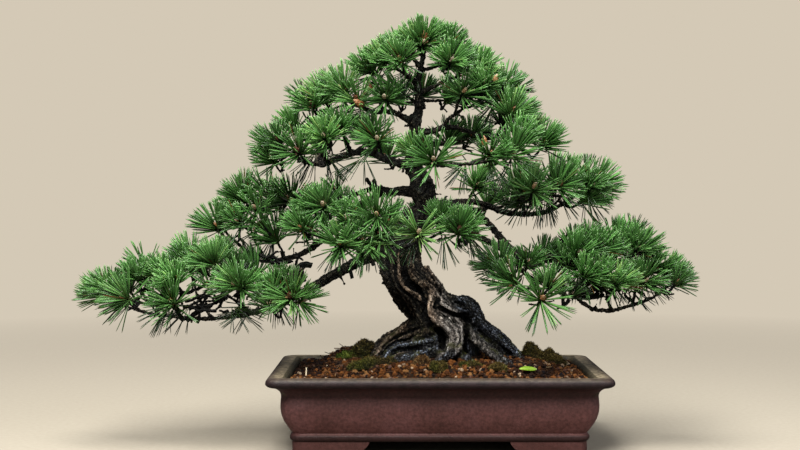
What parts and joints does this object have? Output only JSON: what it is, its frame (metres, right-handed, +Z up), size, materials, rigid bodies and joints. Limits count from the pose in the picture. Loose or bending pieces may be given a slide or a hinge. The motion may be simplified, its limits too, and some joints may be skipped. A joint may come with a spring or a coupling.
{
  "type": "potted black pine bonsai",
  "caption": "Informal upright pine bonsai with twisted roots and layered pads of paired needles, growing in a rectangular unglazed clay pot with corner feet.",
  "frame": {"origin": "on the table, under the middle of the box around the whole plant; the middle of the pot is 61.5 mm towards +X and 9.4 mm towards -Y from it", "axes": "+X along the pot's long side, to the right seen from the front; -Y towards the front; +Z up"},
  "size_m": [0.6894, 0.3044, 0.476],
  "materials": {
    "clay": "matte",
    "soil": "matte",
    "bark": "matte",
    "needles": "satin",
    "moss": "matte",
    "leaf": "satin",
    "netting": "matte"
  },
  "bodies": {
    "root": {"drain_screen_left": "netting", "drain_screen_right": "netting", "fallen_leaf": "leaf", "foliage_back_high": "needles", "foliage_back_low": "needles", "foliage_back_middle": "needles", "foliage_back_right": "needles", "foliage_back_upper": "needles", "foliage_crown_left": "needles", "foliage_crown_right": "needles", "foliage_crown_top": "needles", "foliage_fourth_left_inner": "needles", "foliage_fourth_left_outer": "needles", "foliage_front_left": "needles", "foliage_front_middle": "needles", "foliage_front_right": "needles", "foliage_front_upper_left": "needles", "foliage_front_upper_right": "needles", "foliage_low_left_inner": "needles", "foliage_low_left_middle": "needles", "foliage_low_left_outer": "needles", "foliage_low_left_tip": "needles", "foliage_low_right_hanging": "needles", "foliage_low_right_inner": "needles", "foliage_low_right_lower": "needles", "foliage_low_right_middle": "needles", "foliage_low_right_outer": "needles", "foliage_low_right_tip": "needles", "foliage_middle_right_inner": "needles", "foliage_middle_right_outer": "needles", "foliage_middle_right_tip": "needles", "foliage_second_left_inner": "needles", "foliage_second_left_middle": "needles", "foliage_second_left_tip": "needles", "foliage_third_left_inner": "needles", "foliage_third_left_middle": "needles", "foliage_third_left_tip": "needles", "foliage_upper_right_inner": "needles", "foliage_upper_right_tip": "needles", "foliage_upper_right_top": "needles", "moss_back": "moss", "moss_front_left": "moss", "moss_front_middle": "moss", "moss_front_right": "moss", "moss_left": "moss", "moss_right": "moss", "pot": "clay", "soil": "soil", "trunk_roots_and_branches": "bark"}
  },
  "joints": []
}
